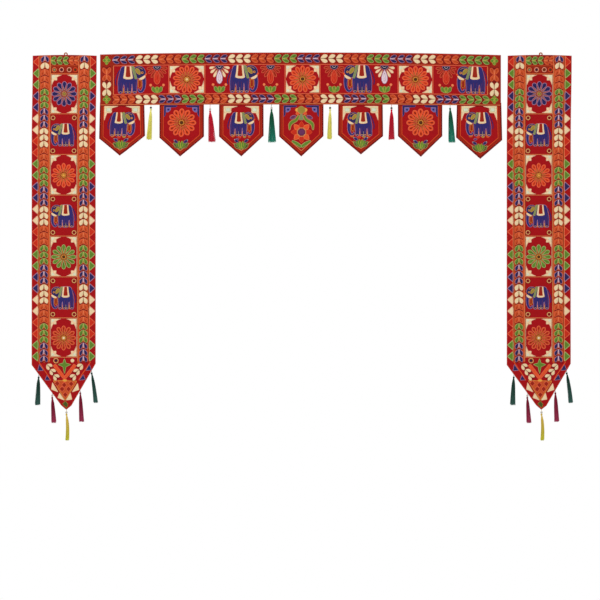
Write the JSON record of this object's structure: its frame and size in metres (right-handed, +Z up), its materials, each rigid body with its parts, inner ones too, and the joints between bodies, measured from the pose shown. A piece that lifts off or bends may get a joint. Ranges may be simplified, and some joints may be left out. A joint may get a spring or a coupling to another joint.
{
  "type": "toran door hanging",
  "caption": "Embroidered door hanging: a lintel band with pointed pendants and tassels, and long side panels that end in a point with tassels.",
  "frame": {"origin": "the middle of the band's top edge, half way through the cloth", "axes": "+X along the lintel to the right as seen, +Z up, and -Y the way the embroidered faces look"},
  "size_m": [1.3534, 0.0155, 0.9708],
  "materials": {
    "cloth": "crimson cotton, covered in chain stitch embroidery",
    "yarn_yellow": "soft pale yellow yarn",
    "yarn_red": "soft red yarn",
    "yarn_green": "soft blue green yarn",
    "yarn_maroon": "soft maroon yarn",
    "yarn_bottle_green": "soft bottle green yarn",
    "yarn_mustard": "soft mustard yarn",
    "bead_dark": "dark brown, polished",
    "bead_pale": "pale cream, slightly glossy",
    "loop_thread": "orange brown thread, buttonhole stitched"
  },
  "bodies": {
    "root": {"toran_band": "cloth", "pendant_1": "cloth", "pendant_2": "cloth", "pendant_3": "cloth", "pendant_4": "cloth", "pendant_5": "cloth", "pendant_6": "cloth", "pendant_7": "cloth", "toran_tassel_1": "yarn_yellow", "toran_tassel_2": "yarn_red", "toran_tassel_3": "yarn_green", "toran_tassel_4": "yarn_yellow", "toran_tassel_5": "yarn_red", "toran_tassel_6": "yarn_green", "toran_bead_1": "bead_dark", "toran_bead_2": "bead_pale", "toran_bead_3": "bead_pale", "toran_bead_4": "bead_dark", "toran_bead_5": "bead_dark", "side_panel_left": "cloth", "hanging_loop_left": "loop_thread", "side_tassel_left_1": "yarn_bottle_green", "side_tassel_left_2": "yarn_maroon", "side_tassel_left_3": "yarn_mustard", "side_tassel_left_4": "yarn_maroon", "side_tassel_left_5": "yarn_bottle_green", "side_bead_left_2": "bead_pale", "side_bead_left_3": "bead_pale", "side_panel_right": "cloth", "hanging_loop_right": "loop_thread", "side_tassel_right_1": "yarn_bottle_green", "side_tassel_right_2": "yarn_maroon", "side_tassel_right_3": "yarn_mustard", "side_tassel_right_4": "yarn_maroon", "side_tassel_right_5": "yarn_bottle_green", "side_bead_right_2": "bead_pale", "side_bead_right_3": "bead_pale"}
  },
  "joints": []
}
